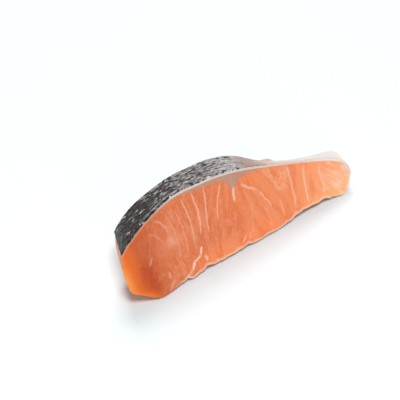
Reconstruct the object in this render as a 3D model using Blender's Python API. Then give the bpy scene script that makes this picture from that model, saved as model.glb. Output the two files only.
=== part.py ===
"""Raw salmon fillet slice with its skin on, cut from a side of salmon on the bias.

The slice stands on its bone side with the skin up. Its two cut faces lean back a little.
Each piece is modelled in the frame of the front cut face: x runs along the cut from the back
of the fish to its belly, y runs into the slice, and z runs up the cut face. An empty then
leans that frame back, so that the base is flat on the floor.
"""

import math

import bmesh
import bpy
import numpy as np

MM = 0.001

# Driving sizes of the slice.
THICKNESS = 22.0 * MM
BIAS_SHIFT = 11.0 * MM
LEAN = math.radians(18.0)
SKIN_THICKNESS = 1.0 * MM
SKIN_GAP = 0.3 * MM

# Outline of the front cut face, in millimetres (along the cut, up the cut).
# Skin side: from the back of the fish, over the thick loin, down to the belly tip.
SKIN_SIDE = [
    (-18.4, 35.0),
    (-12.3, 39.3),
    (-2.0, 45.0),
    (10.0, 49.6),
    (20.0, 51.8),
    (33.0, 51.6),
    (49.0, 50.3),
    (66.0, 46.7),
    (90.0, 39.0),
    (112.0, 31.7),
    (127.0, 26.0),
    (135.7, 20.6),
    (139.4, 14.6),
    (140.2, 10.0),
]
# Bone side: the trimmed back edge curls up off the floor, and the rest lies on it.
BONE_SIDE = [
    (-19.3, 17.0),
    (-18.9, 13.9),
    (-17.4, 11.3),
    (-14.3, 8.9),
    (-9.7, 5.6),
    (-4.9, 2.2),
    (-1.0, 0.4),
    (4.0, 0.0),
    (12.0, 0.0),
    (40.0, 0.0),
    (85.0, 0.0),
    (120.0, 0.0),
    (134.0, 0.0),
]
BACK_FACE_CURL_SHARE = 0.65
# How much higher the skin side of the back cut face is than that of the front one, in millimetres:
# (along the cut, rise). It is a little uneven over the loin, sinks over the belly and comes up at the tip.
BACK_RISE = [
    (0.0, 1.8),
    (14.0, 1.5),
    (36.0, -1.3),
    (64.0, -1.0),
    (78.0, -1.6),
    (88.0, -3.2),
    (104.0, -8.0),
    (122.0, -9.6),
    (140.0, -8.8),
    (152.0, -6.6),
    (164.0, -2.2),
    (170.0, 3.0),
]
# The front cut face's lower edge is soft and a little off the floor: (along the cut, height).
BONE_EDGE_LIFT = [
    (0.0, 0.0),
    (9.0, 1.5),
    (15.0, 2.3),
    (20.0, 1.2),
    (30.0, 3.1),
    (42.0, 2.2),
    (58.0, 2.4),
    (66.0, 1.5),
    (84.0, 1.8),
    (95.0, 3.5),
    (104.0, 4.5),
    (116.0, 3.9),
    (126.0, 2.1),
    (133.0, 0.0),
]
# Ragged nicks in that edge, where rib bones were pulled out: (along the cut, height, half width).
BONE_NICKS = [
    (16.5, 1.3, 1.6),
    (30.5, 0.8, 2.2),
    (59.5, 1.1, 1.6),
    (74.0, 0.7, 2.4),
    (99.0, 0.8, 2.0),
    (118.5, 1.0, 1.7),
]
FRONT_LIFT_DEPTH = 6.5 * MM
# The back cut face's lower edge is like it, moved along, lower and less deep.
BACK_LIFT_OFFSET = 9.0 * MM
BACK_LIFT_SHARE = 0.5
BACK_LIFT_DEPTH = 1.4 * MM

# Soft edges and bulges of the flesh, and the share of the cut that each end takes.
EDGE_ROUNDING = 0.9 * MM
ROUNDED_SHARE = 0.045
DORSAL_BULGE = 1.3 * MM
BELLY_BULGE = 1.1 * MM
END_SHARE = 0.1

# Muscle flakes on the cut faces: shallow pillows between thin sheets of fat.
FLAKE_SPACING = 7.6 * MM
FLAKE_RELIEF = 0.45 * MM
FLAKE_SLANT = 0.22
CUT_WAVE = 0.7 * MM
CUT_WAVE_LENGTH = 61.0 * MM
CUT_WAVE_HEIGHT = 113.0 * MM

# Mesh density.
LENGTH_SEGMENTS = 84
HEIGHT_SEGMENTS = 14
DEPTH_STEPS = [0.0, 0.012, 0.045, 0.12, 0.205, 0.3, 0.79, 0.935, 0.988, 1.0]
SMALL_STEP = 0.001
SHARP_ANGLE = math.radians(40.0)


def clear_scene():
    for obj in list(bpy.data.objects):
        bpy.data.objects.remove(obj)


def curve_through(points, share):
    """Catmull-Rom curve through the points, read at shares 0 to 1 of its length along the chords."""
    knots = np.array(points, float)
    knots = np.vstack([2 * knots[0] - knots[1], knots, 2 * knots[-1] - knots[-2]])
    chord = np.concatenate([[0.0], np.cumsum(np.linalg.norm(np.diff(knots[1:-1], axis=0), axis=1))])
    place = np.interp(share, chord / chord[-1], np.arange(len(chord)))
    span = np.minimum(place.astype(int), len(chord) - 2)
    t = (place - span)[..., None]
    a, b, c, d = (knots[span + i] for i in range(4))
    return 0.5 * (2 * b + (c - a) * t + (2 * a - 5 * b + 4 * c - d) * t**2 + (3 * b - a - 3 * c + d) * t**3)


def smooth_step(low, high, value):
    """0 at low, 1 at high, with a smooth start and end. Low may be the larger of the two."""
    t = np.clip((value - low) / (high - low), 0, 1)
    return t * t * (3 - 2 * t)


def skin_line(u, w):
    """Skin side of the flesh: u along the cut, w from the front cut face (0) to the back one (1)."""
    front = curve_through(SKIN_SIDE, u) * MM
    rise = curve_through(BACK_RISE, u)[..., 1] * MM
    return front[..., 0] + BIAS_SHIFT * w, front[..., 1] + rise * w


def ragged_edge(x):
    """Height of the lower edge of a cut face at x: a soft lift with sharper nicks in it."""
    along, lift = np.array(BONE_EDGE_LIFT).T * MM
    nicks = [top * MM * np.exp(-np.abs((x / MM - middle) / half)) for middle, top, half in BONE_NICKS]
    return np.interp(x, along, lift) + np.max(nicks, axis=0)


def bone_line(u, w):
    """Bone side of the flesh, which is cut off level by the floor under the leaning slice."""
    front = curve_through(BONE_SIDE, u) * MM
    x = front[..., 0]
    near_cut = smooth_step(FRONT_LIFT_DEPTH, 0, w * THICKNESS)
    far_cut = BACK_LIFT_SHARE * smooth_step(BACK_LIFT_DEPTH, 0, (1 - w) * THICKNESS)
    ragged = ragged_edge(x) * near_cut + ragged_edge(x + BACK_LIFT_OFFSET) * far_cut
    curl = np.maximum(front[..., 1], 0) * (1 + (BACK_FACE_CURL_SHARE - 1) * w)
    return x + BIAS_SHIFT * w, curl + ragged + w * THICKNESS * math.tan(LEAN)


def flake_relief(x, z):
    """Outward swelling of a cut face: pillows between the fat sheets, and one slow wave of the knife."""
    phase = (x + FLAKE_SLANT * z) / FLAKE_SPACING
    pillow = FLAKE_RELIEF * np.sqrt(np.abs(np.sin(np.pi * phase)))
    wave = CUT_WAVE * np.sin(2 * np.pi * (x / CUT_WAVE_LENGTH + z / CUT_WAVE_HEIGHT))
    return pillow + wave


def place_flesh(u, v, w):
    """Point of the flesh block: u along the cut, v from bone side to skin side, w front to back."""
    top_x, top_z = skin_line(u, w)
    low_x, low_z = bone_line(u, w)
    dorsal, belly = smooth_step(END_SHARE, 0, u), smooth_step(1 - END_SHARE, 1, u)
    base, under_skin = smooth_step(END_SHARE, 0, v), smooth_step(1 - END_SHARE, 1, v)
    bulge = (BELLY_BULGE * belly - DORSAL_BULGE * dorsal) * np.sin(np.pi * v)
    # The rims of the cut faces are rounded at the base and at both ends, not under the skin.
    rim = np.clip(1 - np.minimum(w, 1 - w) / ROUNDED_SHARE, 0, 1)
    inset = EDGE_ROUNDING * (1 - np.sqrt(1 - rim**2))
    x = low_x + (top_x - low_x) * v + bulge + inset * (dorsal - belly)
    z = low_z + (top_z - low_z) * v + inset * base
    relief = flake_relief(x, z) * (1 - dorsal) * (1 - belly) * (1 - base) * (1 - under_skin)
    y = w * THICKNESS + np.where(w == 1, relief, 0) - np.where(w == 0, relief, 0)
    return x, y, z


def place_skin(u, v, w):
    """Point of the skin: u along the cut, v from its inner face to its outer face, w front to back."""
    x, z = skin_line(u, w)
    ahead, behind = np.minimum(u + SMALL_STEP, 1), np.maximum(u - SMALL_STEP, 0)
    along = np.array(skin_line(ahead, w)) - skin_line(behind, w)
    along = along / np.linalg.norm(along, axis=0)
    offset = SKIN_GAP + SKIN_THICKNESS * v
    return x - along[1] * offset, w * THICKNESS, z + along[0] * offset


def add_block(name, place, height_segments, material):
    """A block of LENGTH_SEGMENTS by height_segments by DEPTH_STEPS, whose points place() moves."""
    mesh = bpy.data.meshes.new(name)
    form = bmesh.new()
    made = bmesh.ops.create_grid(form, x_segments=LENGTH_SEGMENTS, y_segments=height_segments, size=0.5)
    for vert in made["verts"]:
        vert.co = (vert.co.x + 0.5, vert.co.y + 0.5, DEPTH_STEPS[0])
    cap = list(form.faces)
    for step, depth in enumerate(DEPTH_STEPS[1:]):
        grown = bmesh.ops.extrude_face_region(form, geom=cap, use_keep_orig=step == 0)["geom"]
        if step:
            bmesh.ops.delete(form, geom=cap, context="FACES_ONLY")
        cap = [item for item in grown if isinstance(item, bmesh.types.BMFace)]
        for vert in {vert for face in cap for vert in face.verts}:
            vert.co.z = depth
    form.to_mesh(mesh)
    form.free()
    unit = np.empty(len(mesh.vertices) * 3)
    mesh.vertices.foreach_get("co", unit)
    placed = np.stack(place(*unit.reshape(-1, 3).T), axis=1)
    mesh.vertices.foreach_set("co", placed.ravel())
    face_outwards(mesh)
    mesh.materials.append(material)
    mesh.shade_smooth()
    mesh.set_sharp_from_angle(angle=SHARP_ANGLE)
    obj = bpy.data.objects.new(name, mesh)
    bpy.context.scene.collection.objects.link(obj)
    return obj


def face_outwards(mesh):
    form = bmesh.new()
    form.from_mesh(mesh)
    bmesh.ops.recalc_face_normals(form, faces=form.faces)
    form.to_mesh(mesh)
    form.free()


def make_material(name, colour, roughness):
    material = bpy.data.materials.new(name)
    material.use_nodes = True
    shader = material.node_tree.nodes["Principled BSDF"]
    shader.inputs["Base Color"].default_value = (*colour, 1)
    shader.inputs["Roughness"].default_value = roughness
    shader.inputs["Metallic"].default_value = 0.0
    return material


def make_flesh():
    salmon_orange = make_material("salmon_flesh", (0.80, 0.23, 0.09), 0.35)
    return add_block("flesh", place_flesh, HEIGHT_SEGMENTS, salmon_orange)


def make_skin():
    scaled_grey = make_material("salmon_skin", (0.14, 0.15, 0.15), 0.3)
    return add_block("skin", place_skin, 1, scaled_grey)


def stand_on_floor(pieces):
    """Lean the pieces back under one empty, with the origin at the bottom centre of their box."""
    stand = bpy.data.objects.new("slice_frame", None)
    bpy.context.scene.collection.objects.link(stand)
    stand.rotation_euler.x = -LEAN
    for piece in pieces:
        piece.parent = stand
    bpy.context.view_layer.update()
    points = np.array([piece.matrix_world @ vert.co for piece in pieces for vert in piece.data.vertices])
    low, high = points.min(0), points.max(0)
    stand.location = (-(low[0] + high[0]) / 2, -(low[1] + high[1]) / 2, -low[2])
    bpy.context.view_layer.update()


clear_scene()
stand_on_floor([make_flesh(), make_skin()])
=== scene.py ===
"""Looks of a raw salmon fillet slice: moist orange flesh with sheets of fat, under a strip of scaly skin.

It is laid out as an add-on and run as a script. One operator makes each piece, and one the stage.
Shapes are worked out in millimetres in the frame of the front cut face: x runs along the cut from
the back of the fish to its belly, y runs into the slice, and z runs up the cut face.
"""

import functools
import math

import bpy
import numpy as np
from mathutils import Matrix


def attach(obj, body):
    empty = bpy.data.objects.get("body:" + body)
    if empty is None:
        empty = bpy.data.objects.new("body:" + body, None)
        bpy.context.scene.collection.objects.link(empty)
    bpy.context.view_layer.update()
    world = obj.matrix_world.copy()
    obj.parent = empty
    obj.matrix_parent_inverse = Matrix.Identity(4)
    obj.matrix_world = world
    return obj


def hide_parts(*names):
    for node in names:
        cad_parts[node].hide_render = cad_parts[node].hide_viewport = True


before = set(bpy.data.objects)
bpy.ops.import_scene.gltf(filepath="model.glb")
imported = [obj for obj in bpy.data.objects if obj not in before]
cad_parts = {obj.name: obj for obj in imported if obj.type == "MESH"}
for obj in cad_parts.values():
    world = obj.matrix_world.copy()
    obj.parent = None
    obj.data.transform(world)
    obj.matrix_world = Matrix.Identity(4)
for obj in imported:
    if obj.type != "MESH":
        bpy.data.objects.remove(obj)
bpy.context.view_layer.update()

bl_info = {
    "name": "Raw salmon slice",
    "version": (1, 0, 0),
    "blender": (4, 5, 0),
    "location": "3D View > Sidebar > Salmon",
    "description": "Makes the flesh, the skin and the stage of a raw salmon fillet slice",
    "category": "Object",
}

MM = 0.001

# The slice as it was cut, in millimetres.
THICKNESS = 22.0
BIAS_SHIFT = 11.0
LEAN = math.radians(18.0)
SKIN_THICKNESS = 1.0
STAND_X = -66.30
STAND_Y = -18.61

# Outline of the front cut face, in millimetres (along the cut, up the cut).
SKIN_SIDE = [
    (-18.4, 35.0),
    (-12.3, 39.3),
    (-2.0, 45.0),
    (10.0, 49.6),
    (20.0, 51.8),
    (33.0, 51.6),
    (49.0, 50.3),
    (66.0, 46.7),
    (90.0, 39.0),
    (112.0, 31.7),
    (127.0, 26.0),
    (135.7, 20.6),
    (139.4, 14.6),
    (140.2, 10.0),
]
BONE_SIDE = [
    (-19.3, 17.0),
    (-18.9, 13.9),
    (-17.4, 11.3),
    (-14.3, 8.9),
    (-9.7, 5.6),
    (-4.9, 2.2),
    (-1.0, 0.4),
    (4.0, 0.0),
    (12.0, 0.0),
    (40.0, 0.0),
    (85.0, 0.0),
    (120.0, 0.0),
    (134.0, 0.0),
]
BACK_FACE_CURL_SHARE = 0.65
# How much higher the skin side of the back cut face is than the front one's: (along the cut, rise).
BACK_RISE = [
    (0.0, 1.8),
    (14.0, 1.5),
    (36.0, -1.3),
    (64.0, -1.0),
    (78.0, -1.6),
    (88.0, -3.2),
    (104.0, -8.0),
    (122.0, -9.6),
    (140.0, -8.8),
    (152.0, -6.6),
    (164.0, -2.2),
    (170.0, 3.0),
]
# Lower edge of the front cut face: (along the cut, height), and (along the cut, height, half width).
BONE_EDGE_LIFT = [
    (0.0, 0.0),
    (9.0, 1.5),
    (15.0, 2.3),
    (20.0, 1.2),
    (30.0, 3.1),
    (42.0, 2.2),
    (58.0, 2.4),
    (66.0, 1.5),
    (84.0, 1.8),
    (95.0, 3.5),
    (104.0, 4.5),
    (116.0, 3.9),
    (126.0, 2.1),
    (133.0, 0.0),
]
BONE_NICKS = [
    (16.5, 1.3, 1.6),
    (30.5, 0.8, 2.2),
    (59.5, 1.1, 1.6),
    (74.0, 0.7, 2.4),
    (99.0, 0.8, 2.0),
    (118.5, 1.0, 1.7),
]
FRONT_LIFT_DEPTH = 6.5
BACK_LIFT_OFFSET = 9.0
BACK_LIFT_SHARE = 0.5
BACK_LIFT_DEPTH = 1.4
EDGE_ROUNDING = 0.9
ROUNDED_SHARE = 0.045
DORSAL_BULGE = 1.2
BELLY_BULGE = 1.1
END_SHARE = 0.1
CUT_SWELL = 0.25
CUT_WAVE = 0.7
CUT_WAVE_LENGTH = 61.0
CUT_WAVE_HEIGHT = 113.0

# Soft lumps of the cut faces and tatters of their lower edge, each as (height, length).
SOFT_LUMPS = (0.16, 13.0)
FINE_LUMPS = (0.05, 4.5)
TATTERS = (0.25, 5.0)
FINE_TATTERS = (0.15, 2.2)
RIPPLE_WAVES = 9
# The soft lumps are this share as wide as they are high, and fat lies in grooves of this depth.
LUMP_SLIMNESS = 0.6
GROOVE_DEPTH = 0.2

# Fat strands on the cut: (x, z) at the top, (x, z) at the bottom, bow, half width, strength.
STRANDS = [
    ((12.5, 43.0), (15.5, 18.0), 1.2, 0.45, 0.16),
    ((17.5, 45.0), (20.5, 17.0), 1.4, 0.4, 0.22),
    ((22.2, 49.0), (25.9, 20.5), 1.6, 0.4, 0.38),
    ((28.9, 51.0), (30.3, 22.5), 2.0, 0.4, 0.44),
    ((38.0, 49.8), (35.3, 21.5), 0.4, 0.4, 0.46),
    ((49.8, 47.0), (42.9, 25.5), -1.4, 0.4, 0.44),
    ((57.2, 42.0), (56.1, 30.2), -0.5, 0.7, 0.76),
    ((60.8, 40.4), (72.6, 30.4), 0.3, 0.55, 0.46),
    ((72.0, 31.0), (80.0, 16.5), 0.7, 0.45, 0.46),
    ((77.4, 42.5), (88.0, 22.5), 0.4, 1.0, 0.24),
    ((80.6, 41.0), (85.0, 30.0), 0.4, 0.35, 0.36),
    ((94.8, 36.5), (96.5, 7.5), 0.7, 0.5, 0.42),
    ((106.5, 32.0), (106.3, 6.0), -0.9, 0.55, 0.52),
    ((117.0, 28.0), (119.4, 6.5), -0.6, 0.55, 0.40),
    ((126.5, 19.5), (135.6, 8.0), 0.6, 0.9, 0.30),
    ((123.5, 14.0), (131.8, 1.5), 0.6, 0.9, 0.30),
    ((3.4, 44.6), (11.3, 33.0), 2.0, 0.5, 0.26),
    ((-2.5, 40.0), (8.0, 27.0), 1.8, 0.5, 0.12),
    ((8.8, 32.6), (14.3, 24.0), 0.3, 2.2, 0.18),
    ((-1.2, 27.0), (-4.3, 21.2), 0.0, 0.6, 0.28),
    ((6.4, 14.4), (6.1, 8.4), 0.0, 0.6, 0.32),
    ((8.6, 8.5), (3.4, 1.2), 0.3, 0.7, 0.30),
    ((29.9, 17.4), (27.4, 11.6), -0.3, 0.55, 0.95),
    ((28.4, 12.6), (21.6, 10.4), 0.2, 0.6, 0.75),
    ((23.4, 12.0), (20.2, 6.0), 0.2, 0.7, 1.0),
    ((21.6, 8.2), (14.8, 2.6), 0.2, 0.7, 0.5),
    ((29.8, 11.6), (31.4, 6.4), 0.2, 0.6, 0.60),
    ((59.4, 11.6), (55.4, 5.2), 0.2, 0.5, 0.45),
    ((62.6, 11.0), (60.0, 5.6), 0.2, 0.5, 0.26),
    ((65.8, 27.0), (63.8, 8.0), 0.6, 0.6, 0.16),
    ((74.5, 22.0), (77.0, 5.0), 0.6, 0.7, 0.16),
    ((85.5, 21.0), (87.0, 6.0), 0.5, 0.7, 0.20),
    ((46.8, 25.5), (50.8, 18.5), 0.5, 1.2, 0.16),
]

# How far the flakes lean on the cut, as (x, sideways per millimetre down); the height that x is for.
FLAKE_LEANS = [
    (-20.0, -0.32),
    (-5.0, -0.28),
    (8.0, 0.1),
    (22.0, 0.15),
    (33.0, 0.08),
    (46.0, -0.24),
    (56.0, 0.02),
    (70.0, 0.36),
    (84.0, 0.48),
    (96.0, 0.12),
    (106.0, 0.0),
    (118.0, 0.15),
    (133.0, 0.6),
]
FLAKE_MIDDLE = 25.0

# Patches of the cut face: (middle x, middle z, half width, half height). The wedge is of dark muscle. The
# loin patch is a painted sheen.
LOIN_SHEEN = (16.0, 31.0, 20.0, 17.0)
DEEP_PATCH = (-8.0, 12.0, 10.0, 19.0)
RED_PATCH = (53.0, 20.0, 8.0, 17.0)
WEAVE_PATCH = (90.5, 29.0, 6.5, 9.0)
WEDGE_MIDDLE = 56.8
WEDGE_HALF = 12

# The slice's scales, in millimetres and degrees.
SCALE_PITCH = 3.7
SCALE_ROW = 2.0
SCALE_RELIEF = 0.14
SCALE_SLANT = 7.0
# Half a scale's width in pitches, its length in rows, and the rows that bare skin counts as.
SCALE_HALF_WIDTH = 0.58
SCALE_LENGTH = 2.3
BARE_INWARD = 1.5
# A scale's profile in rows from its free edge: it rises over the first pair and sinks over the second.
SCALE_RISE = (0, 0.16)
SCALE_SINK = (1.3, 0.1)
# How far the scales stray from even rows: (in pitches or rows, over this many millimetres).
COLUMN_WANDER = (0.10, 9.0)
ROW_WANDER = (0.22, 11.0)
# Seeds of the two random numbers that each scale has.
SCALE_TONES = (12.9898, 78.233, 43758.5453)
SCALE_OTHER_TONES = (39.425, 11.135, 24634.6345)
# Marks on a scale, (in half widths, in rows): half sizes, rows in from its free edge, and play.
LENS_HALF = (0.85, 0.42)
LENS_INWARD = 0.45
LENS_PLAY = (0.5, 0.3)
STREAK_HALF = (0.8, 0.24)
STREAK_INWARD = 0.14
STREAK_PLAY = 0.4
# The scales lose this share of their relief between these two places along the cut.
SCALES_FADE_SHARE = 0.75
SCALES_FADE = (58, 84)
# The skin lies this clear of the flesh, swells in soft lumps and is rounded at its outer edges.
SKIN_CLEARANCE = 0.05
SKIN_SWELL = 0.06
SKIN_LUMPS = (0.05, 7.0)
SKIN_ROUNDING = 0.35
# The skin thins out at both ends, and a small flap of it lifts at its back edge.
SKIN_END_SHARE = 0.03
SKIN_END_START = 0.004
SKIN_END_THINNEST = 0.3
STRIP_STEPS = 400
FLAP_MIDDLE = 87.0
FLAP_HALF = 6.5
FLAP_LIFT = 1.4
FLAP_START = 0.88

# Mesh density: steps along the cut, up it or through the skin, and from face to face.
FLESH_GRID = (330, 96)
SKIN_GRID = (640, 3)
FLESH_LAYERS = 18
SKIN_LAYERS = 60
RIM_STEPS = (0.0, 0.002, 0.006, 0.012, 0.02, 0.032, 0.045)
SMALL_STEP = 0.001

# Camera, measured from the corner of the front cut face that stands on the floor.
CAMERA_FROM_CORNER = (-248.86, -331.43, 414.64)
CAMERA_YAW = math.radians(39.444)
CAMERA_TILT = math.radians(40.0)
CAMERA_LENS = 100.0

# Lights, in metres: (right, away, up) as the camera sees, and size. The floor's reach and its drop.
KEY_LIGHT = ((-0.15, 0.86, 1.32), 0.7)
FILL_LIGHT = ((0.1, -0.7, 1.37), 0.4)
FRONT_LIGHT = ((0.4, -1.3, 0.5), 0.8)
FLOOR_REACH = 4.0
FLOOR_LEVEL = -0.0001

MIX_SHARE, MIX_UNDER, MIX_OVER, MIX_RESULT = 0, 6, 7, 2
FIELD_NUMBER = 2
OBJECT_PLACE = 3


class Shade:
    """One output socket in a material. Its operators add Math nodes, and node() adds any other node."""

    def __init__(self, tree, socket=None):
        self.tree = tree
        self.socket = socket

    def node(self, kind, settings=None, inputs=None, output=0):
        """Add a node of this type, first its settings and then the values or links of its sockets."""
        made = self.tree.nodes.new(kind)
        for name, value in (settings or {}).items():
            setattr(made, name, value)
        for name, value in (inputs or {}).items():
            if isinstance(value, Shade):
                self.tree.links.new(value.socket, made.inputs[name])
            else:
                made.inputs[name].default_value = value
        return Shade(self.tree, made.outputs[output])

    def maths(self, operation, *values):
        return self.node("ShaderNodeMath", {"operation": operation}, dict(enumerate(values)))

    def __add__(self, other):
        return self.maths("ADD", self, other)

    def __radd__(self, other):
        return self.maths("ADD", other, self)

    def __sub__(self, other):
        return self.maths("SUBTRACT", self, other)

    def __rsub__(self, other):
        return self.maths("SUBTRACT", other, self)

    def __mul__(self, other):
        return self.maths("MULTIPLY", self, other)

    def __rmul__(self, other):
        return self.maths("MULTIPLY", other, self)

    def __abs__(self):
        return self.maths("ABSOLUTE", self)

    def larger(self, other):
        return self.maths("MAXIMUM", self, other)

    def field(self, name):
        """The number that the mesh holds under this name, at this point."""
        return self.node("ShaderNodeAttribute", {"attribute_name": name}, output=FIELD_NUMBER)

    def layers(self, colour, layers):
        """This colour with others painted over it in order, each where its own mask is 1."""
        for mask, over in layers:
            inputs = {MIX_SHARE: mask, MIX_UNDER: colour, MIX_OVER: over}
            colour = self.node("ShaderNodeMix", {"data_type": "RGBA"}, inputs, MIX_RESULT)
        return colour

    def noise(self, size, detail=2.0, stretch=(1.0, 1.0, 1.0)):
        """Noise from 0 to 1 with lumps of this size, stretched along the axes, at this point."""
        scale = tuple(1 / (size * share) for share in stretch)
        point = self.node("ShaderNodeVectorMath", {"operation": "MULTIPLY"}, {0: self, 1: scale})
        return point.node("ShaderNodeTexNoise", inputs={"Vector": point, "Scale": 1.0, "Detail": detail})


def ramp(low, high, value):
    """0 at low, 1 at high, smooth at both ends, for arrays and sockets. Low may be the larger."""
    if isinstance(value, Shade):
        limits = {"Value": value, "From Min": low, "From Max": high}
        return value.node("ShaderNodeMapRange", {"interpolation_type": "SMOOTHSTEP"}, limits)
    t = np.clip((value - low) / (high - low), 0, 1)
    return t * t * (3 - 2 * t)


def strand_mask(x, z, line):
    """1 on the middle line of a strand of fat, fading to 0 at twice its half width and at its ends.

    That line is a parabola: the straight line from top to bottom, bowed sideways in its middle.
    """
    (top_x, top_z), (low_x, low_z), bow, half_width = line
    length = math.hypot(low_x - top_x, low_z - top_z)
    run, fall = (low_x - top_x) / length, (low_z - top_z) / length
    along = ((x - top_x) * run + (z - top_z) * fall) * (1 / length)
    across = (z - top_z) * run - (x - top_x) * fall
    off = abs(across - along * (1 - along) * (4 * bow))
    fade = min(0.35, 4.0 / length)
    return ramp(2 * half_width, 0, off) * ramp(0, fade, along) * ramp(1, 1 - fade, along)


def curve_through(points, share):
    """Catmull-Rom curve through the points, read at shares 0 to 1 of its length along the chords."""
    knots = np.array(points, float)
    knots = np.vstack([2 * knots[0] - knots[1], knots, 2 * knots[-1] - knots[-2]])
    chord = np.concatenate([[0.0], np.cumsum(np.linalg.norm(np.diff(knots[1:-1], axis=0), axis=1))])
    place = np.interp(share, chord / chord[-1], np.arange(len(chord)))
    span = np.minimum(place.astype(int), len(chord) - 2)
    t = (place - span)[..., None]
    a, b, c, d = (knots[span + i] for i in range(4))
    return 0.5 * (2 * b + (c - a) * t + (2 * a - 5 * b + 4 * c - d) * t**2 + (3 * b - a - 3 * c + d) * t**3)


def ripples(x, z, size, seed):
    """Smooth lumps of this (height, length): a mean of sine waves that run in seeded directions."""
    height, length = size
    draw = np.random.default_rng(seed)
    total = 0
    for _ in range(RIPPLE_WAVES):
        angle, phase = draw.uniform(0, 2 * np.pi, 2)
        number = 2 * np.pi / (length * draw.uniform(0.7, 1.5))
        total = total + np.sin(number * (x * np.cos(angle) + z * np.sin(angle)) + phase)
    return height * (total / math.sqrt(RIPPLE_WAVES * 2))


def skin_line(u, w):
    """Skin side of the flesh: u along the cut, w from the front cut face (0) to the back one (1)."""
    front = curve_through(SKIN_SIDE, u)
    rise = curve_through(BACK_RISE, u)[..., 1]
    return front[..., 0] + BIAS_SHIFT * w, front[..., 1] + rise * w


def ragged_edge(x):
    """Height of the lower edge of a cut face at x: a soft lift, sharper nicks and small tatters."""
    along, lift = np.array(BONE_EDGE_LIFT).T
    nicks = [top * np.exp(-np.abs((x - middle) / half)) for middle, top, half in BONE_NICKS]
    soft = np.interp(x, along, lift)
    tatters = ripples(x, 0, TATTERS, seed=3) + ripples(x, 0, FINE_TATTERS, seed=5)
    return np.maximum(soft + np.max(nicks, axis=0) + tatters * ramp(0, 1.5, soft), 0)


def bone_line(u, w):
    """Bone side of the flesh, cut off level by the floor under the leaning slice."""
    front = curve_through(BONE_SIDE, u)
    x = front[..., 0]
    near_cut = ramp(FRONT_LIFT_DEPTH, 0, w * THICKNESS)
    far_cut = BACK_LIFT_SHARE * ramp(BACK_LIFT_DEPTH, 0, (1 - w) * THICKNESS)
    ragged = ragged_edge(x) * near_cut + ragged_edge(x + BACK_LIFT_OFFSET) * far_cut
    curl = np.maximum(front[..., 1], 0) * (1 + (BACK_FACE_CURL_SHARE - 1) * w)
    return x + BIAS_SHIFT * w, curl + ragged + w * THICKNESS * math.tan(LEAN)


def direction(line, u, w):
    """Unit vector along a line at u, from two points a small step before and after it."""
    ahead, behind = np.minimum(u + SMALL_STEP, 1), np.maximum(u - SMALL_STEP, 0)
    along = np.array(line(ahead, w)) - line(behind, w)
    return along / np.linalg.norm(along, axis=0)


def cut_relief(x, z):
    """Outward swelling of a cut face: a slow wave of the knife, soft lumps, and grooves on the fat."""
    wave = CUT_WAVE * np.sin(2 * np.pi * (x / CUT_WAVE_LENGTH + z / CUT_WAVE_HEIGHT))
    lumps = ripples(x, z * LUMP_SLIMNESS, SOFT_LUMPS, seed=11) + ripples(x, z, FINE_LUMPS, seed=12)
    grooves = sum(GROOVE_DEPTH * strength * strand_mask(x, z, line) for *line, strength in STRANDS)
    return CUT_SWELL + wave + lumps - grooves


def place_flesh(u, v, w):
    """Point of the flesh block: u along the cut, v from bone side to skin side, w front to back."""
    top_x, top_z = skin_line(u, w)
    low_x, low_z = bone_line(u, w)
    dorsal, belly = ramp(END_SHARE, 0, u), ramp(1 - END_SHARE, 1, u)
    base, under_skin = ramp(END_SHARE, 0, v), ramp(1 - END_SHARE, 1, v)
    bulge = (BELLY_BULGE * belly - DORSAL_BULGE * dorsal) * np.sin(np.pi * v)
    rim = np.clip(1 - np.minimum(w, 1 - w) / ROUNDED_SHARE, 0, 1)
    inset = EDGE_ROUNDING * (1 - np.sqrt(1 - rim**2))
    x = low_x + (top_x - low_x) * v + bulge + inset * (dorsal - belly)
    z = low_z + (top_z - low_z) * v + inset * base
    cut_x = x - BIAS_SHIFT * w
    relief = cut_relief(cut_x, z) * (1 - dorsal) * (1 - belly) * (1 - base) * (1 - under_skin)
    y = w * THICKNESS + np.where(w == 1, relief, 0) - np.where(w == 0, relief, 0)
    skin_run, skin_climb = direction(skin_line, u, w)
    bone_run, bone_climb = direction(bone_line, u, w)
    lean = np.interp(cut_x, *np.array(FLAKE_LEANS).T)
    fields = {
        "skin_depth": abs((top_x - x) * skin_climb - (top_z - z) * skin_run),
        "bone_height": abs((x - low_x) * bone_climb - (z - low_z) * bone_run),
        "flake": cut_x + lean * (z - FLAKE_MIDDLE),
        "rim": np.minimum(w, 1 - w) * THICKNESS,
    }
    return (x, y, z), fields


def scale_tone(column, row, seeds):
    """A number from 0 to 1 for each scale: what follows the point in a large multiple of a sine."""
    by_column, by_row, multiple = seeds
    draw = np.sin(column * by_column + row * by_row) * multiple
    return draw - np.floor(draw)


def scales(along, across):
    """Overlapping round scales in staggered rows, in units of their pitch and row spacing.

    Where several discs cover a point, the one furthest along across lies on top, and its free
    edge is its low end. Gives the distance in from that edge, in rows, the place across the
    scale from -1 to 1, and two random numbers of the scale, from 0 to 1.
    """
    inward, aside = np.full(along.shape, BARE_INWARD), np.zeros(along.shape)
    tone, other_tone = np.zeros(along.shape), np.zeros(along.shape)
    open_yet = np.ones(along.shape, bool)
    for step in (3, 2, 1, 0, -1):
        row = np.floor(across) + step
        shift = 0.5 * (row % 2)
        column = np.round(along - shift)
        off = (along - shift - column) / SCALE_HALF_WIDTH
        within = across - row + SCALE_LENGTH * np.sqrt(np.clip(1 - off**2, 0, 1))
        here = open_yet & (within > 0) & (np.abs(off) < 1)
        inward, aside = np.where(here, within, inward), np.where(here, off, aside)
        tone = np.where(here, scale_tone(column, row, SCALE_TONES), tone)
        other_tone = np.where(here, scale_tone(column, row, SCALE_OTHER_TONES), other_tone)
        open_yet &= ~here
    return inward, aside, tone, other_tone


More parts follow.
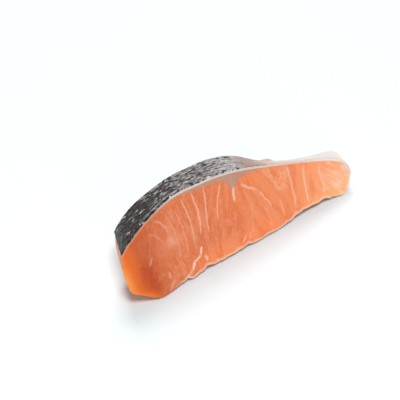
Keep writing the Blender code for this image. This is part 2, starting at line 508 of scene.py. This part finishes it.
def place_skin(u, v, w):
    """Point of the skin: u along the cut, v from its inner face to its outer face, w front to back."""
    x, z = skin_line(u, w)
    run, climb = direction(skin_line, u, w)
    steps = np.diff(curve_through(SKIN_SIDE, np.linspace(0, 1, STRIP_STEPS)), axis=0)
    strip = u * np.linalg.norm(steps, axis=1).sum() + BIAS_SHIFT * w
    depth = w * THICKNESS
    reach = x - BIAS_SHIFT * w
    slant = math.radians(SCALE_SLANT)
    column = (strip * math.cos(slant) - depth * math.sin(slant)) / SCALE_PITCH
    row = (depth * math.cos(slant) + strip * math.sin(slant)) / SCALE_ROW
    column = column + ripples(strip, depth, COLUMN_WANDER, seed=21)
    row = row + ripples(strip, depth, ROW_WANDER, seed=22)
    inward, aside, tone, other_tone = scales(column, row)
    tile = ramp(*SCALE_SINK, inward) * ramp(*SCALE_RISE, inward)
    rim = np.minimum(w, 1 - w) * THICKNESS
    scaled = SCALE_RELIEF * tile * (1 - SCALES_FADE_SHARE * ramp(*SCALES_FADE, reach))
    relief = scaled + ripples(strip, depth, SKIN_LUMPS, seed=23)
    rounding = SKIN_ROUNDING * (1 - np.sqrt(1 - np.clip(1 - rim / SKIN_ROUNDING, 0, 1) ** 2))
    ends = ramp(-SKIN_END_START, SKIN_END_SHARE, u) * ramp(1 + SKIN_END_START, 1 - SKIN_END_SHARE, u)
    taper = SKIN_END_THINNEST + (1 - SKIN_END_THINNEST) * np.sqrt(ends)
    flap = FLAP_LIFT * ramp(FLAP_HALF, 0, abs(reach - FLAP_MIDDLE)) * ramp(FLAP_START, 1, w)
    offset = SKIN_CLEARANCE + flap + v * (SKIN_THICKNESS + SKIN_SWELL + relief - rounding) * taper
    lens_aside = (aside - LENS_PLAY[0] * (other_tone - 0.5)) / LENS_HALF[0]
    lens_inward = (inward - LENS_INWARD - LENS_PLAY[1] * other_tone) / LENS_HALF[1]
    lens = np.hypot(lens_aside, lens_inward)
    streak_aside = (aside + STREAK_PLAY * (tone - 0.5)) / STREAK_HALF[0]
    streak = np.hypot(streak_aside, (inward - STREAK_INWARD) / STREAK_HALF[1])
    fields = {
        "reach": reach,
        "strip": strip,
        "rim": rim,
        "outer": v,
        "tone": tone,
        "fleck": ramp(1.0, 0.45, lens) * ramp(0.15, 0.6, tone),
        "glint": ramp(1.0, 0.3, streak) * ramp(0.2, 0.8, other_tone),
    }
    return (x - climb * offset, depth, z + run * offset), fields


def block(columns, rows, layers):
    """Unit points (u, v, w) and faces of a closed block.

    A grid of columns by rows makes the front, at the first layer, and the back, at the last.
    Rings of points round the grid's edge, one for each layer, make the four sides between them.
    """
    u, v = np.meshgrid(np.linspace(0, 1, columns + 1), np.linspace(0, 1, rows + 1), indexing="ij")
    number = np.arange(u.size).reshape(u.shape)
    edge = np.concatenate([number[:-1, 0], number[-1, :-1], number[:0:-1, -1], number[0, :0:-1]])
    u, v = u.ravel(), v.ravel()
    inner = np.array(layers[1:-1])
    ring_u, ring_v = np.tile(u[edge], len(inner)), np.tile(v[edge], len(inner))
    points = np.stack([
        np.concatenate([u, ring_u, u]),
        np.concatenate([v, ring_v, v]),
        np.concatenate([np.zeros(u.size), np.repeat(inner, len(edge)), np.ones(u.size)]),
    ])
    rings = u.size + np.arange(len(inner) * len(edge)).reshape(len(inner), len(edge))
    back = u.size + rings.size
    rings = np.vstack([edge, rings, edge + back])
    corners = [number[:-1, :-1], number[1:, :-1], number[1:, 1:], number[:-1, 1:]]
    front_faces = np.stack(corners, -1).reshape(-1, 4)
    onward = np.roll(rings, -1, axis=1)
    side_faces = np.stack([rings[:-1], rings[1:], onward[1:], onward[:-1]], -1).reshape(-1, 4)
    return points, np.vstack([front_faces, front_faces[:, ::-1] + back, side_faces])


def to_world(x, y, z):
    """Lean a point of the cut face's frame back by LEAN about x, and move it to where the slice stands."""
    world_y = y * math.cos(LEAN) + z * math.sin(LEAN) + STAND_Y
    world_z = z * math.cos(LEAN) - y * math.sin(LEAN)
    return np.stack([x + STAND_X, world_y, world_z], axis=1) * MM


def add_piece(name, place, grid, layers, material, nodes):
    """Make one closed piece from its place function, and let it stand for its CAD nodes."""
    unit, faces = block(*grid, layers)
    (x, y, z), fields = place(*unit)
    points = to_world(x, y, z)
    mesh = bpy.data.meshes.new(name)
    mesh.vertices.add(len(points))
    mesh.vertices.foreach_set("co", points.astype(np.float32).ravel())
    mesh.loops.add(faces.size)
    mesh.loops.foreach_set("vertex_index", faces.astype(np.int32).ravel())
    mesh.polygons.add(len(faces))
    mesh.polygons.foreach_set("loop_start", np.arange(0, faces.size, 4, dtype=np.int32))
    mesh.update(calc_edges=True)
    for field, values in fields.items():
        attribute = mesh.attributes.new(field, "FLOAT", "POINT")
        attribute.data.foreach_set("value", np.asarray(values, np.float32))
    mesh.shade_smooth()
    mesh.materials.append(material)
    if mesh.validate():
        raise RuntimeError(f"{name} had faces that had to be repaired")
    piece = bpy.data.objects.new(name, mesh)
    bpy.context.scene.collection.objects.link(piece)
    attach(piece, "root")
    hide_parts(*nodes)
    return piece


def depth_layers(steps):
    """Layers from the front cut face to the back one: close together at both rims, even between them."""
    near = np.array(RIM_STEPS)
    between = np.linspace(near[-1], 1 - near[-1], steps)[1:-1]
    return np.concatenate([near, between, 1 - near[::-1]])


def new_material(name):
    """A new material with a Principled shader, and a Shade to add nodes to it."""
    material = bpy.data.materials.new(name)
    material.use_nodes = True
    return material, material.node_tree.nodes["Principled BSDF"], Shade(material.node_tree)


def cut_frame(shade):
    """Object coordinates in the cut face's frame, in millimetres: the whole point, then x, y and z."""
    place = shade.node("ShaderNodeTexCoord", output=OBJECT_PLACE)
    turned = {
        "Vector": place,
        "Location": (STAND_X * MM, STAND_Y * MM, 0.0),
        "Rotation": (-LEAN, 0.0, 0.0),
        "Scale": (MM, MM, MM),
    }
    point = shade.node("ShaderNodeMapping", {"vector_type": "TEXTURE"}, turned)
    return point, *(shade.node("ShaderNodeSeparateXYZ", None, {0: point}, axis) for axis in range(3))


def connect(shader, values):
    """Set or link the shader's sockets."""
    for name, value in values.items():
        if isinstance(value, Shade):
            value.tree.links.new(value.socket, shader.inputs[name])
        else:
            shader.inputs[name].default_value = value


def spot(x, z, patch):
    """An oval patch of the cut face: 1 in its middle and 0 at its edge."""
    middle_x, middle_z, half_x, half_z = patch
    across, up = (x - middle_x) * (1 / half_x), (z - middle_z) * (1 / half_z)
    return ramp(1, 0, across * across + up * up)


def flesh_material(look):
    """Moist orange flesh: deep at the back, pale at the belly, with fat, dark muscle and fine fibres.

    The limits of a ramp are millimetres along the cut, up it, or in from the skin, the bone side or
    the nearer cut face. On a noise they are its levels. Shade under the slice, a highlight along the
    lower edge and a sheen over the loin are painted into the colour.
    """
    material, shader, shade = new_material("raw_salmon_flesh")
    point, x, y, z = cut_frame(shade)
    names = ("skin_depth", "bone_height", "flake", "rim")
    depth, height, flake, rim = (shade.field(name) for name in names)
    x = x - y * (BIAS_SHIFT / THICKNESS)
    along_flakes = shade.node("ShaderNodeCombineXYZ", None, {0: flake, 1: y, 2: z})
    clouds = point.noise(11.0, 3.0)
    mottle = point.noise(2.4, 4.0)
    bands = along_flakes.noise(4.0, 2.0, (1.0, 4.0, 5.0))
    fibres = along_flakes.noise(1.0, 3.0, (1.0, 5.0, 5.0))
    grain = point.noise(0.9, 2.0)
    wander_x = (point.noise(5.0, 3.0) - 0.5) * 2.4 + x
    wander_z = (point.noise(7.0, 2.0) - 0.5) * 2.0 + z

    strands = [strand_mask(wander_x, wander_z, line) * strength for *line, strength in STRANDS]
    fat = functools.reduce(Shade.larger, strands)
    wedge = (1 - abs(x - WEDGE_MIDDLE) * (1 / WEDGE_HALF)).larger(0)
    band = (2.0 * ramp(10, 44, x) + 0.9) * ramp(88, 62, x)
    dark_depth = band + wedge * wedge * wedge * 8.0 + (mottle - 0.5) * 2.4
    dark = ramp(1.2, -1.0, depth - dark_depth) * ramp(-4, 12, x) * ramp(94, 78, x)
    steep = ramp(0.0, 1.0, shade.maths("SINE", wander_x * 3.9 + z * 1.9))
    flat = ramp(0.0, 1.0, shade.maths("SINE", z * 3.1 - wander_x * 1.3))
    weave = spot(x, z, WEAVE_PATCH) * steep.larger(flat * 0.5) * ramp(0.3, 0.6, mottle)
    tip = shade.node("ShaderNodeCombineXYZ", None, {0: x + z * 1.1, 1: y, 2: z - x})
    tip_bands = ramp(0.5, 0.62, tip.noise(2.6, 3.0, (1.0, 4.0, 4.0))) * ramp(110, 128, x)
    streaky = ramp(-6, 18, x) * 0.7 + 0.3
    end = x + (z - 12.0) * 0.16 + (clouds - 0.5) * 9.0
    rounded = ramp(-4, -14, end).larger(ramp(6, 2, height) * ramp(4, -8, x))
    trimmed = ramp(-12.5, -18.5, end).larger(ramp(3, 0.5, height) * ramp(2, -8, x) * 0.35)
    trim_face = ramp(-12, -17, x) * ramp(1.0, 4.0, rim)
    trim_streaks = point.noise(1.5, 3.0, (2.0, 1.0, 5.0))
    # Pale flesh along the lower edge of the cut faces, partly a painted highlight where the rounded edge
    # turns down into shade.
    pale_edge_and_highlight = ramp(2.6, 1.0, height + (mottle - 0.5) * 3.0) * ramp(4, 16, x) * ramp(3.0, 1.0, rim)
    colour = shade.layers(look.flesh_back, [
        (ramp(-12, 20, x), look.flesh_loin),
        (ramp(30, 82, x), look.flesh_side),
        (ramp(86, 112, x), look.flesh_rib),
        (ramp(19, 4, z) * ramp(10, 34, x) * ramp(100, 80, x) * 0.8, look.flesh_low),
        # Painted sheen: a milky patch of soft reflection over the loin.
        (spot(x, z, LOIN_SHEEN) * ramp(0.3, 0.7, clouds) * 0.4, look.veil_and_sheen),
        (spot(x, z, DEEP_PATCH), look.flesh_deep),
        (spot(x, z, RED_PATCH) * 0.45, look.flesh_red),
        (ramp(0.5, 0.38, bands) * streaky * 0.3, look.flesh_red),
        (ramp(0.5, 0.64, bands) * streaky * 0.36, look.veil_and_sheen),
        (ramp(0.52, 0.64, fibres) * streaky * 0.3, look.veil_and_sheen),
        (ramp(0.5, 0.64, grain) * streaky * 0.17, look.veil_and_sheen),
        (ramp(0.5, 0.36, grain) * streaky * 0.17, look.flesh_red),
        (ramp(0.48, 0.64, mottle) * streaky * 0.22, look.veil_and_sheen),
        (ramp(108, 144, x + (clouds - 0.5) * 16), look.flesh_belly),
        (ramp(15, 4, z) * ramp(96, 114, x) * 0.5, look.flesh_gold),
        (ramp(11, 4, depth) * ramp(104, 114, x) * ramp(139, 131, x) * 0.5, look.flesh_rib),
        (weave * 0.5 + tip_bands * 0.45, look.fat),
        (rounded * 0.9, look.flesh_orange),
        (trimmed, look.flesh_rim),
        (ramp(-14, -18, x) * ramp(1, 12, y) * 0.7, look.flesh_side),
        (ramp(0.45, 0.62, clouds) * trim_face * 0.5, look.flesh_red),
        (ramp(0.46, 0.66, trim_streaks) * trim_face * 0.5, look.veil_and_sheen),
        (dark * (mottle * 0.5 + 0.6), look.dark_muscle),
        (dark * ramp(0.48, 0.62, fibres * 0.4 + grain * 0.6) * 0.45, look.veil_and_sheen),
        (fat * (mottle * 0.6 + 0.7), look.fat),
        (ramp(1.0, 0.5, depth) * (ramp(4, 24, x) * 0.7 + 0.3), look.skin_fat),
        (ramp(1.0, 0.5, depth) * ramp(98, 126, x), look.belly_fat),
        (ramp(131.5, 134.2, x - z * 0.62) * 0.55, look.belly_fat),
        (pale_edge_and_highlight * 0.6, look.fat),
        # Painted shade: dark colour on the bone side, away from the cut faces, to darken the gap under the
        # lifted lower edge.
        (ramp(3.0, 1.0, height) * ramp(1.2, 3.2, rim) * ramp(-6, 4, x), look.painted_underside_shade),
    ])
    relief = bands * 0.3 + mottle * 0.3 + grain * 0.1 + fibres * 0.1
    normal = shade.node("ShaderNodeBump", None, {"Strength": 0.5, "Distance": 0.0008, "Height": relief})
    connect(shader, {
        "Base Color": colour,
        "Roughness": ramp(0.35, 0.65, mottle) * 0.2 + 0.32,
        "Normal": normal,
        "Specular IOR Level": 0.18,
        "Subsurface Weight": 0.2,
        "Subsurface Radius": (1.0, 0.35, 0.2),
        "Subsurface Scale": 0.002,
        "Coat Weight": 0.06,
        "Coat Roughness": 0.15,
    })
    return material


def skin_material(look):
    """Wet scaly skin: charcoal on the back, silver with dark flecks on the side, white on the belly.

    The limits of a ramp are millimetres along the cut or in from the nearer edge, or a noise's levels.
    Wet highlights on single scales are painted, and the skin's belly end and its cut edge there are
    painted paler where they turn away from the lamps.
    """
    material, shader, shade = new_material("salmon_skin")
    point, _, y, _ = cut_frame(shade)
    names = ("reach", "strip", "rim", "outer", "tone", "fleck", "glint")
    reach, strip, rim, outer, tone, fleck, glint = (shade.field(name) for name in names)
    along_strip = shade.node("ShaderNodeCombineXYZ", None, {0: strip, 1: y, 2: 0.0})
    clouds = along_strip.noise(7.0, 3.0, (1.6, 1.0, 1.0))
    sheen = along_strip.noise(3.0, 2.0, (2.0, 1.0, 1.0))
    streaks = along_strip.noise(1.6, 3.0, (2.2, 0.9, 1.0))
    tint = along_strip.noise(4.0, 2.0, (2.0, 1.0, 1.0))
    speckle = point.noise(0.6, 2.0)
    zone = reach + (clouds - 0.5) * 20.0 + (streaks - 0.5) * 14.0
    scaled = ramp(72, 60, zone)
    edge = ramp(-4, 6, reach) * ramp(36, 22, reach)
    pale_row = ramp(0.9, 0.3, abs(rim + (streaks - 0.5) * 6.0 - 1.8)) * edge * ramp(0.4, 0.5, sheen)
    dark_row = ramp(0.9, 0.2, abs(rim + (streaks - 0.5) * 3.0 - 3.8)) * edge * ramp(0.45, 0.55, sheen)
    patches = streaks + (sheen - 0.5) * 0.9 + (tone - 0.5) * 0.12
    silvery = ramp(0.46, 0.6, patches + ramp(-14, 50, reach + (clouds - 0.5) * 30.0) * 0.26 - 0.13)
    cut = ramp(0.3, 0.05, rim) * ramp(0.64, 0.4, outer)
    bare = cut.larger(ramp(0.5, 0.3, outer)) * (ramp(0.42, 0.56, streaks) * 0.4 + ramp(6, 24, zone) * 0.6)
    flap = ramp(FLAP_HALF, 0, abs(reach - FLAP_MIDDLE)) * ramp(0.75, 1, y * (1 / THICKNESS))
    pale = shade.layers(look.side, [
        (ramp(-4, 24, zone), look.silver),
        (ramp(38, 54, zone), look.light_silver),
        (ramp(0.54, 0.64, tint) * 0.5, look.teal_sheen),
        (ramp(0.46, 0.36, tint) * 0.5, look.rose_sheen),
        (ramp(0.5, 0.6, streaks) * ramp(-6, 26, zone) * 0.8, look.glint),
    ])
    colour = shade.layers(look.back, [
        (ramp(0.5, 0.6, speckle * 0.5 + streaks * 0.5) * 0.9, look.side),
        (silvery, pale),
        (ramp(0.48, 0.4, streaks) * ramp(0.56, 0.5, sheen) * 0.8, look.fleck),
        (fleck * ramp(0.35, 0.5, sheen) * 0.85, look.fleck),
        (dark_row * 0.8, look.fleck),
        (pale_row * 0.8, look.glint),
        (glint * ramp(0.4, 0.55, speckle) * silvery * 0.9, look.glint),
        # Painted highlights: bright wet spots on single scales.
        (ramp(0.57, 0.62, streaks) * ramp(0.5, 0.58, clouds) * ramp(0.45, 0.55, speckle), look.painted_wet_highlight),
        (1 - scaled, look.flank),
        (ramp(74, 88, zone), look.flush),
        (ramp(82, 102, zone), look.belly),
        (ramp(96, 118, zone) * ramp(0.6, 2.5, rim) * 0.8, look.belly_shade),
        # Peach white skin end, made paler as painted light where it turns away from the lamps.
        (ramp(127, 140, reach) * 0.9, look.belly_end_and_painted_light),
        (flap * 0.6, look.flap),
        (bare, look.cut_edge),
        # Pale cut edge at the belly, made brighter as painted light where it faces down into shade.
        (bare * ramp(98, 126, reach), look.belly_cut_and_painted_light),
    ])
    relief = streaks * 0.6 + speckle * 0.4
    normal = shade.node("ShaderNodeBump", None, {"Strength": 0.4, "Distance": 0.0003, "Height": relief})
    connect(shader, {
        "Base Color": colour,
        "Roughness": speckle * 0.25 + 0.25,
        "Metallic": ramp(20, 45, zone) * scaled * (1 - bare) * 0.2,
        "Normal": normal,
        "Specular IOR Level": 0.15,
        "Coat Weight": 0.06,
        "Coat Roughness": 0.15,
    })
    return material


def floor_material(look):
    """Plain pale floor."""
    material, shader, _ = new_material("pale_floor")
    connect(shader, {"Base Color": look.floor, "Roughness": 0.9, "Specular IOR Level": 0.1})
    return material


def colour_property(name, description, default):
    return bpy.props.FloatVectorProperty(
        name=name, description=description, subtype="COLOR", size=4, min=0, max=1, default=(*default, 1)
    )


class SALMON_PG_flesh(bpy.types.PropertyGroup):
    """Colours of the flesh."""

    flesh_back: colour_property("Back", "Flesh near the back of the fish", (0.50, 0.095, 0.022))
    flesh_loin: colour_property("Loin", "Thick part of the cut face", (0.67, 0.165, 0.055))
    flesh_side: colour_property("Side", "Flesh of the side and along the bones", (0.86, 0.24, 0.08))
    flesh_low: colour_property("Bone side", "Bright orange flesh along the bone side", (0.98, 0.265, 0.08))
    flesh_rib: colour_property("Ribs", "Paler flesh over the ribs", (0.97, 0.32, 0.135))
    flesh_belly: colour_property("Belly", "Pale flesh at the belly tip", (0.97, 0.53, 0.29))
    flesh_gold: colour_property("Gold", "Yellow-orange flesh low on the belly", (1.0, 0.43, 0.12))
    flesh_deep: colour_property("Deep", "Deepest orange at the back", (0.45, 0.05, 0.003))
    flesh_red: colour_property("Red", "Redder flesh between the flakes", (0.66, 0.12, 0.03))
    flesh_orange: colour_property("Orange", "Orange flesh beside the trimmed edge", (0.74, 0.14, 0.016))
    flesh_rim: colour_property("Back edge", "Bright trimmed edge at the fish's back", (0.92, 0.30, 0.06))
    # Milky pink of the fat streaks and fibres; over the loin it is also a painted sheen.
    veil_and_sheen: colour_property("Veil", "Milky pink veil over the loin", (0.80, 0.30, 0.165))
    fat: colour_property("Fat", "Sheets of fat between the flakes", (0.95, 0.64, 0.48))
    skin_fat: colour_property("Fat under the skin", "Fat line right under the skin", (0.72, 0.61, 0.53))
    belly_fat: colour_property("Belly fat", "White fat under the belly skin", (0.94, 0.80, 0.74))
    dark_muscle: colour_property("Dark muscle", "Grey-brown muscle under the skin", (0.40, 0.275, 0.215))
    # Painted shade, not the flesh's own colour: it darkens the gap under the lifted lower edge.
    painted_underside_shade: colour_property("Underside", "Dark flesh in the shade under the slice", (0.32, 0.065, 0.025))


class SALMON_PG_skin(bpy.types.PropertyGroup):
    """Colours of the skin."""

    back: colour_property("Back", "Charcoal skin of the back", (0.016, 0.010, 0.008))
    side: colour_property("Side", "Grey skin below the back", (0.125, 0.094, 0.078))
    silver: colour_property("Silver", "Silver skin of the side", (0.215, 0.188, 0.178))
    light_silver: colour_property("Light silver", "Lilac silver lower on the side", (0.60, 0.545, 0.55))
    flank: colour_property("Flank", "Clear beige skin where the silver ends", (0.36, 0.215, 0.165))
    flush: colour_property("Flush", "Pinkish skin above the white belly", (0.66, 0.49, 0.43))
    belly: colour_property("Belly", "White skin of the belly", (0.78, 0.63, 0.575))
    belly_shade: colour_property("Belly shade", "Greenish white at the belly tip", (0.74, 0.73, 0.67))
    # Peach white of the skin's end, made paler as painted light against the shade there.
    belly_end_and_painted_light: colour_property("Belly end", "Peach white where the skin ends", (0.89, 0.75, 0.66))
    fleck: colour_property("Flecks", "Dark pigment on single scales", (0.018, 0.016, 0.019))
    glint: colour_property("Glint", "Silver rims of the scales", (0.42, 0.395, 0.39))
    # Painted highlight colour for wet spots on single scales.
    painted_wet_highlight: colour_property("Sparkle", "Wet highlights on single scales", (0.80, 0.82, 0.82))
    teal_sheen: colour_property("Teal sheen", "Green-blue tint on some scales", (0.15, 0.21, 0.195))
    rose_sheen: colour_property("Rose sheen", "Pink tint on some scales", (0.33, 0.245, 0.25))
    flap: colour_property("Flap", "Pink flap at the back edge", (0.66, 0.36, 0.29))
    cut_edge: colour_property("Cut edge", "Cream cut edge of the skin", (0.76, 0.66, 0.60))
    # Pale cut edge at the belly, brightened as painted light against the shade on its downward face.
    belly_cut_and_painted_light: colour_property("Belly cut edge", "Pinkish white cut edge at the belly", (0.95, 0.83, 0.80))


class SALMON_PG_stage(bpy.types.PropertyGroup):
    """Floor and light."""

    floor: colour_property("Floor", "Pale floor", (0.80, 0.87, 0.90))
    key: bpy.props.FloatProperty(
        name="Key light", description="Power of the large light above the back", unit="POWER", default=14.0
    )
    fill: bpy.props.FloatProperty(
        name="Fill light", description="Power of the light above the camera", unit="POWER", default=14.2
    )
    front: bpy.props.FloatProperty(
        name="Front light", description="Power of the low light on the cut face", unit="POWER", default=4.5
    )
    sky: bpy.props.FloatProperty(name="Sky", description="Strength of the even light", default=0.22)


class SALMON_OT_flesh(bpy.types.Operator):
    """Make the flesh with its soft ragged edge, knife wave and grooves of fat"""

    bl_idname = "salmon.flesh"
    bl_label = "Flesh"

    def execute(self, context):
        material = flesh_material(context.scene.salmon_flesh)
        layers = depth_layers(FLESH_LAYERS)
        piece = add_piece("cut_flesh", place_flesh, FLESH_GRID, layers, material, ["flesh"])
        return {"FINISHED"}


class SALMON_OT_skin(bpy.types.Operator):
    """Make the skin with its overlapping scales"""

    bl_idname = "salmon.skin"
    bl_label = "Skin"

    def execute(self, context):
        material = skin_material(context.scene.salmon_skin)
        layers = depth_layers(SKIN_LAYERS)
        piece = add_piece("scaly_skin", place_skin, SKIN_GRID, layers, material, ["skin"])
        return {"FINISHED"}


def add_light(name, place, size, power):
    """A square light, turned to the slice. Its place is right, away and up, as the camera sees."""
    light = bpy.data.lights.new(name, "AREA")
    light.size = size
    light.energy = power
    lamp = bpy.data.objects.new(name, light)
    lamp.visible_camera = False
    bpy.context.scene.collection.objects.link(lamp)
    right, away, up = place
    lamp.location.x = right * math.cos(CAMERA_YAW) + away * math.sin(CAMERA_YAW)
    lamp.location.y = away * math.cos(CAMERA_YAW) - right * math.sin(CAMERA_YAW)
    lamp.location.z = up
    lamp.rotation_euler = lamp.location.to_track_quat("Z", "Y").to_euler()


class SALMON_OT_stage(bpy.types.Operator):
    """Set the floor, the lights and the camera"""

    bl_idname = "salmon.stage"
    bl_label = "Stage"

    def execute(self, context):
        scene = context.scene
        look = scene.salmon_stage
        mesh = bpy.data.meshes.new("floor")
        corners = [(-1, -1), (1, -1), (1, 1), (-1, 1)]
        points = [(x * FLOOR_REACH, y * FLOOR_REACH, FLOOR_LEVEL) for x, y in corners]
        mesh.from_pydata(points, [], [(0, 1, 2, 3)])
        mesh.materials.append(floor_material(look))
        floor = bpy.data.objects.new("floor", mesh)
        scene.collection.objects.link(floor)

        add_light("key_light", *KEY_LIGHT, look.key)
        add_light("fill_light", *FILL_LIGHT, look.fill)
        add_light("front_light", *FRONT_LIGHT, look.front)
        world = bpy.data.worlds.new("even_light")
        world.use_nodes = True
        connect(world.node_tree.nodes["Background"], {"Color": (1, 1, 1, 1), "Strength": look.sky})
        scene.world = world
        scene.view_settings.view_transform = "Standard"

        data = bpy.data.cameras.new("camera")
        data.lens = CAMERA_LENS
        data.clip_start = 0.01
        camera = bpy.data.objects.new("camera", data)
        scene.collection.objects.link(camera)
        corner = (STAND_X, STAND_Y, 0.0)
        camera.location = [(a + b) * MM for a, b in zip(corner, CAMERA_FROM_CORNER)]
        camera.rotation_euler = (math.pi / 2 - CAMERA_TILT, 0.0, -CAMERA_YAW)
        scene.camera = camera
        return {"FINISHED"}


class SALMON_PT_panel(bpy.types.Panel):
    """The slice's pieces, colours and stage"""

    bl_idname = "SALMON_PT_panel"
    bl_label = "Raw salmon slice"
    bl_space_type = "VIEW_3D"
    bl_region_type = "UI"
    bl_category = "Salmon"

    def draw(self, context):
        for operator, settings in PIECES:
            self.layout.operator(operator.bl_idname)
            for name in type(getattr(context.scene, settings)).__annotations__:
                self.layout.prop(getattr(context.scene, settings), name)


PIECES = [
    (SALMON_OT_flesh, "salmon_flesh"),
    (SALMON_OT_skin, "salmon_skin"),
    (SALMON_OT_stage, "salmon_stage"),
]
GROUPS = {
    "salmon_flesh": SALMON_PG_flesh,
    "salmon_skin": SALMON_PG_skin,
    "salmon_stage": SALMON_PG_stage,
}
CLASSES = [*GROUPS.values(), *(operator for operator, _ in PIECES), SALMON_PT_panel]


def register():
    for made in CLASSES:
        bpy.utils.register_class(made)
    for name, group in GROUPS.items():
        setattr(bpy.types.Scene, name, bpy.props.PointerProperty(type=group))


def unregister():
    for name in GROUPS:
        delattr(bpy.types.Scene, name)
    for made in reversed(CLASSES):
        bpy.utils.unregister_class(made)


def main():
    register()
    bpy.ops.salmon.flesh()
    bpy.ops.salmon.skin()
    bpy.ops.salmon.stage()


if __name__ == "__main__":
    main()
